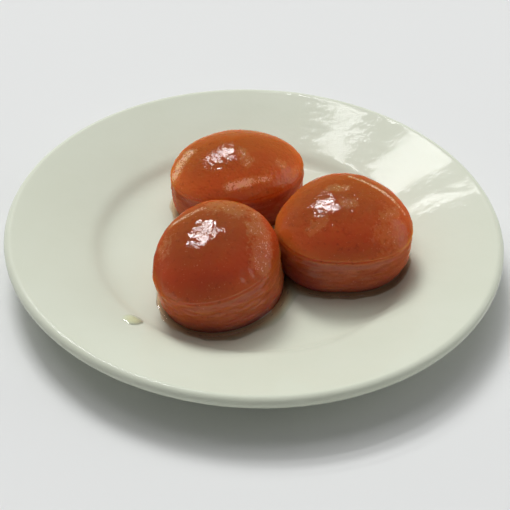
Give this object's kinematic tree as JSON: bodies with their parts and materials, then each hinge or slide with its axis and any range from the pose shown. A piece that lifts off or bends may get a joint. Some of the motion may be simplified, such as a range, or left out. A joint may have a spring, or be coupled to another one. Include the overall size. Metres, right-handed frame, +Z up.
{
  "type": "plate of syrup dumplings",
  "caption": "Round glazed plate with a flat well and a sloping rim, holding soft fried cheese dumplings soaked in syrup, with a thin pool of syrup round their feet.",
  "frame": {"origin": "middle of the plate's foot, on the surface that it stands on", "axes": "+Z up along the plate's turning axis, -Y towards the viewer of the picture, +X to the viewer's right"},
  "size_m": [0.17, 0.17, 0.0353],
  "materials": {
    "plate_glaze": "gloss",
    "dumpling_skin": "gloss",
    "syrup": "polished"
  },
  "bodies": {
    "root": {"plate": "plate_glaze", "dumpling_front": "dumpling_skin", "dumpling_right": "dumpling_skin", "dumpling_back": "dumpling_skin", "syrup_pool": "syrup", "syrup_drop": "syrup"}
  },
  "joints": []
}
